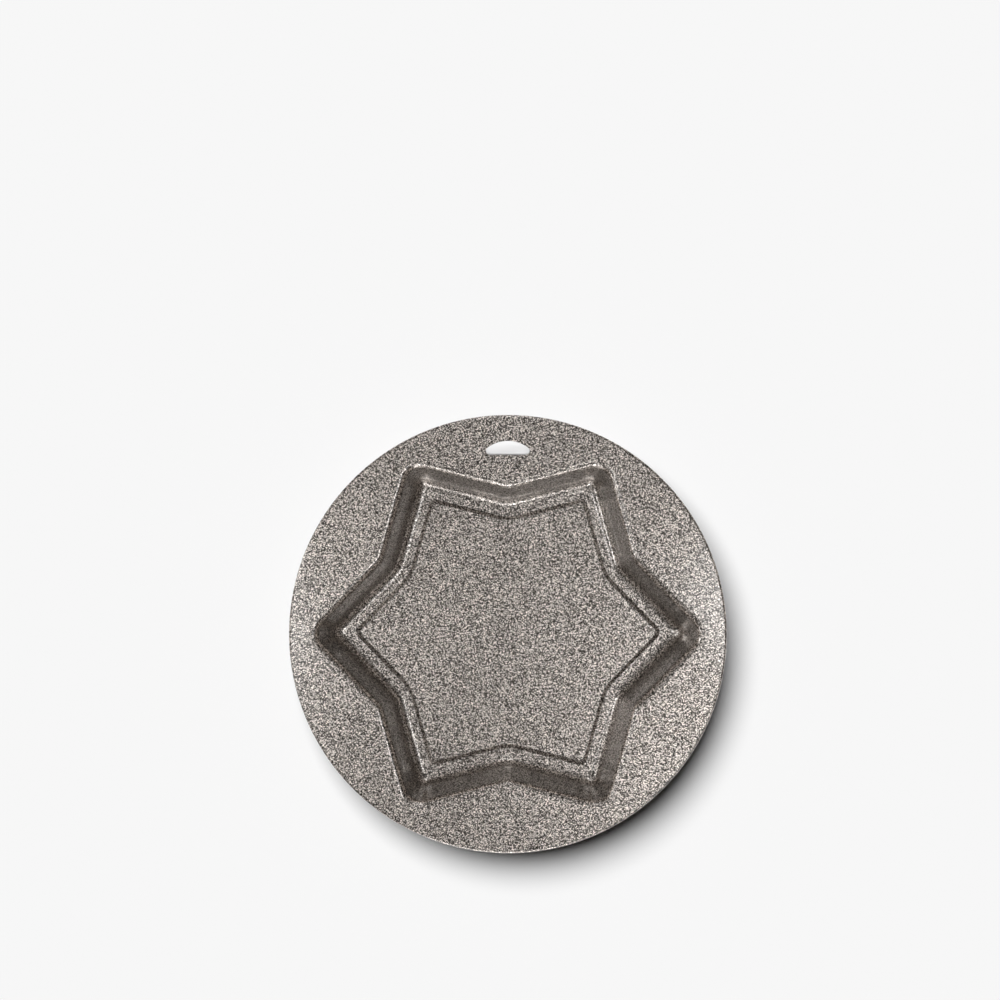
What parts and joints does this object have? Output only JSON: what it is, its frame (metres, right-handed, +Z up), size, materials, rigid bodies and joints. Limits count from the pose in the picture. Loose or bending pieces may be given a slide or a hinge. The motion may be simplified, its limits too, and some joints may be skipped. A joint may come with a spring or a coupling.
{
  "type": "star cake pan",
  "caption": "Round flat-flanged baking pan with a six-pointed star well, a raised floor panel, a rolled rim, a hanging slot and a speckled stone-effect coat inside.",
  "frame": {"origin": "on the resting plane, under the centre of the star and of the rim", "axes": "+Z up, out of the well; +Y towards the hanging slot; +X along one of the star's points"},
  "size_m": [0.28, 0.28, 0.035],
  "materials": {
    "pressed_steel": "cold-rolled, pressed, satin",
    "stone_coat": "speckled stone-effect non-stick coat, satin",
    "outside_coat": "plain dark non-stick coat, satin",
    "steel_wire": "drawn wire"
  },
  "bodies": {
    "root": {"pressed_steel_shell": "pressed_steel", "inside_stone_coat": "stone_coat", "outside_coat": "outside_coat", "rim_wire": "steel_wire"}
  },
  "joints": []
}
